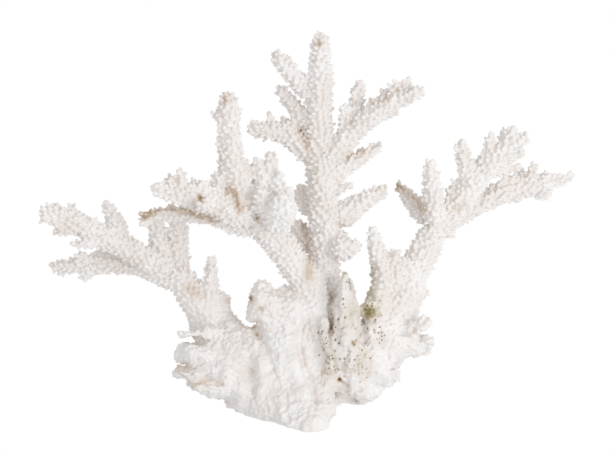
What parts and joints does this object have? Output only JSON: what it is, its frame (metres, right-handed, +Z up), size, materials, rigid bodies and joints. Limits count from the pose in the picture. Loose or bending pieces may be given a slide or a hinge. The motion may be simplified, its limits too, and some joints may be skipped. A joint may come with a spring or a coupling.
{
  "type": "branching coral",
  "caption": "Bleached staghorn coral colony: stout limbs and knobbly arms fan out and up from a fused base that is cut flat to stand.",
  "frame": {"origin": "on the flat cut foot, below the middle of the colony's width", "axes": "+Z up, +X to the right along the fan of limbs, -Y to the front"},
  "size_m": [0.2949, 0.1123, 0.2027],
  "materials": {
    "coral": "bleached, matt, finely knobbly",
    "bored_coral": "weathered beige, matt, pitted with small dark bore holes"
  },
  "bodies": {
    "root": {"base": "coral", "left_limb": "coral", "right_limb": "coral", "tall_limb": "coral", "front_limb": "coral", "broken_stub": "coral", "dead_spire": "bored_coral", "left_lower_arm": "coral", "left_upper_arm": "coral", "front_upright": "coral", "front_left_arm": "coral", "front_low_arm": "coral", "tall_left_arm": "coral", "tall_right_arm": "coral", "right_long_arm": "coral", "right_upper_arm": "coral"}
  },
  "joints": []
}
